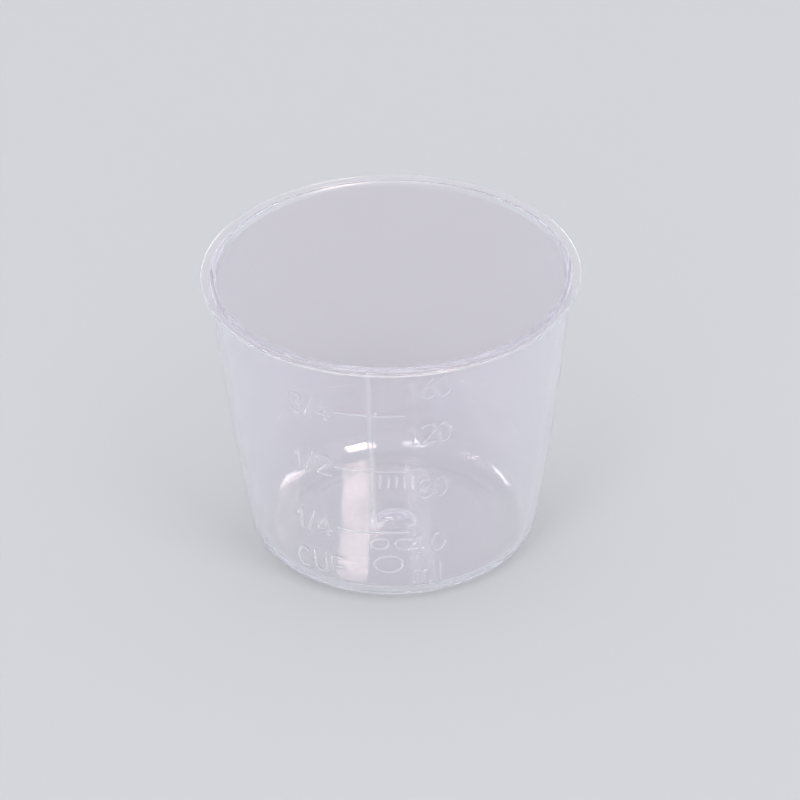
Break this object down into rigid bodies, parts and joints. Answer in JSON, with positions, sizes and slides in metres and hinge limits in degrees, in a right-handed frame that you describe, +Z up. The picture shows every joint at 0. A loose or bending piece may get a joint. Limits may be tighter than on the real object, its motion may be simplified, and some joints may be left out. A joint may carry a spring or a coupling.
{
  "type": "measuring cup",
  "caption": "Small clear tapered measuring cup with a narrow turned-out lip, rounded base corner and a raised millilitre and fraction scale on the outside of its wall.",
  "frame": {"origin": "centre of the base, on the plane that the foot ring stands on", "axes": "+Z up along the cup's axis to the mouth; the scale is on the side that faces -Y; +X to the right when looking at the scale"},
  "size_m": [0.072, 0.072, 0.0573],
  "materials": {
    "clear_plastic": "clear moulded polypropylene, glossy, with a very faint violet tint"
  },
  "bodies": {
    "root": {"rim_lip": "clear_plastic", "cup_wall": "clear_plastic", "base_corner": "clear_plastic", "foot_ring": "clear_plastic", "floor": "clear_plastic", "gate_dimple": "clear_plastic", "gate_stub": "clear_plastic", "figure_120_0": "clear_plastic", "figure_120_1": "clear_plastic", "figure_120_2": "clear_plastic", "figure_160_0": "clear_plastic", "figure_160_1": "clear_plastic", "figure_160_6": "clear_plastic", "figure_40_0": "clear_plastic", "figure_40_4": "clear_plastic", "figure_80_0": "clear_plastic", "figure_80_8": "clear_plastic", "fraction_1_2_one": "clear_plastic", "fraction_1_2_slash": "clear_plastic", "fraction_1_2_two": "clear_plastic", "fraction_1_4_four": "clear_plastic", "fraction_1_4_one": "clear_plastic", "fraction_1_4_slash": "clear_plastic", "fraction_3_4_four": "clear_plastic", "fraction_3_4_slash": "clear_plastic", "fraction_3_4_three": "clear_plastic", "letter_cup_c": "clear_plastic", "letter_cup_p": "clear_plastic", "letter_cup_u": "clear_plastic", "letter_ml_l": "clear_plastic", "letter_ml_m": "clear_plastic", "line_120": "clear_plastic", "line_40": "clear_plastic", "line_80": "clear_plastic", "scale_rib_low": "clear_plastic", "scale_rib_middle": "clear_plastic", "scale_rib_top": "clear_plastic", "under_bar_1": "clear_plastic", "under_bar_2": "clear_plastic", "under_bar_3": "clear_plastic", "under_bar_4": "clear_plastic", "under_bar_5": "clear_plastic", "under_ring_front": "clear_plastic", "under_ring_left": "clear_plastic", "under_ring_right": "clear_plastic"}
  },
  "joints": []
}
